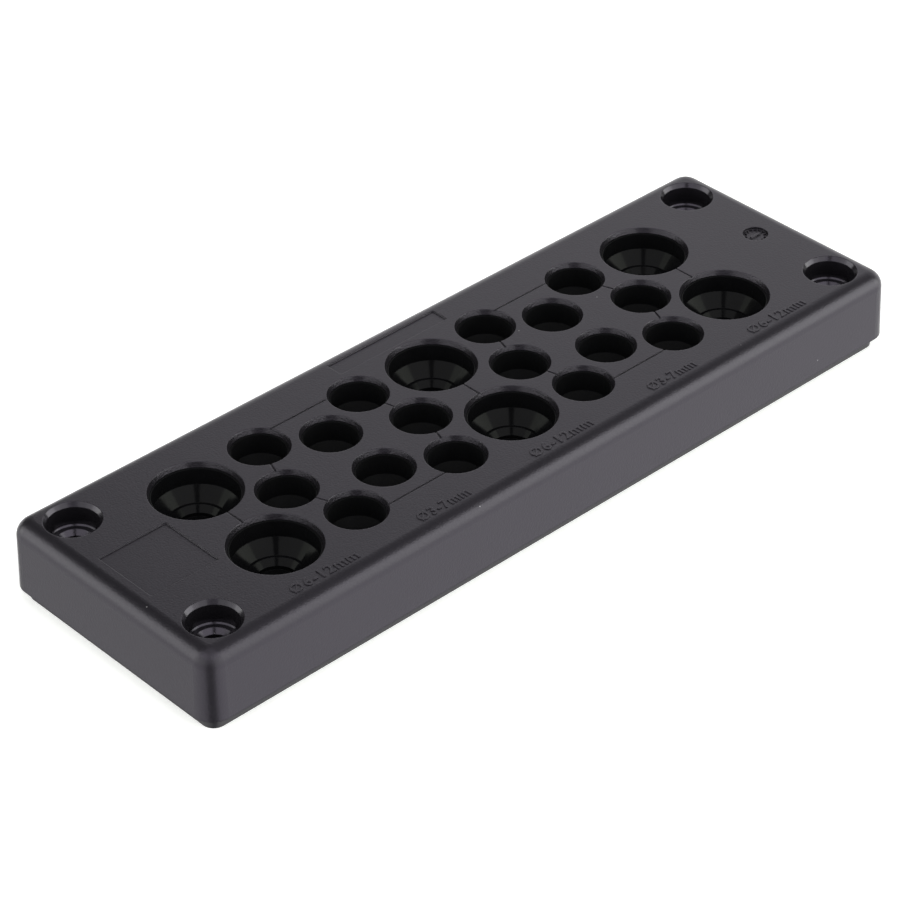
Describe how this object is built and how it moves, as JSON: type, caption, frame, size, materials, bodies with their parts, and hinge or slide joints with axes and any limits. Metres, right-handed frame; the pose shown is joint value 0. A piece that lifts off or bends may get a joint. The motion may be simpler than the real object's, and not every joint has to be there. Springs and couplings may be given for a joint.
{
  "type": "cable entry plate",
  "caption": "Flat rectangular plate that leads cables through a cabinet wall: hard cover with stepped round holes, elastomer funnels with membranes, panel gasket and corner screw holes.",
  "frame": {"origin": "centre of the gasket's lower face, the face that lies on the cabinet wall", "axes": "+X along the plate, +Y across it, +Z out of the wall through the top face"},
  "size_m": [0.1446, 0.0466, 0.014],
  "materials": {
    "cover": "fine matte mould texture, polished chamfers in the screw holes",
    "elastomer": "glossy moulded elastomer",
    "gasket": "matte moulded elastomer"
  },
  "bodies": {
    "root": {"cover": "cover", "seal_mat": "elastomer", "panel_gasket": "gasket"}
  },
  "joints": []
}
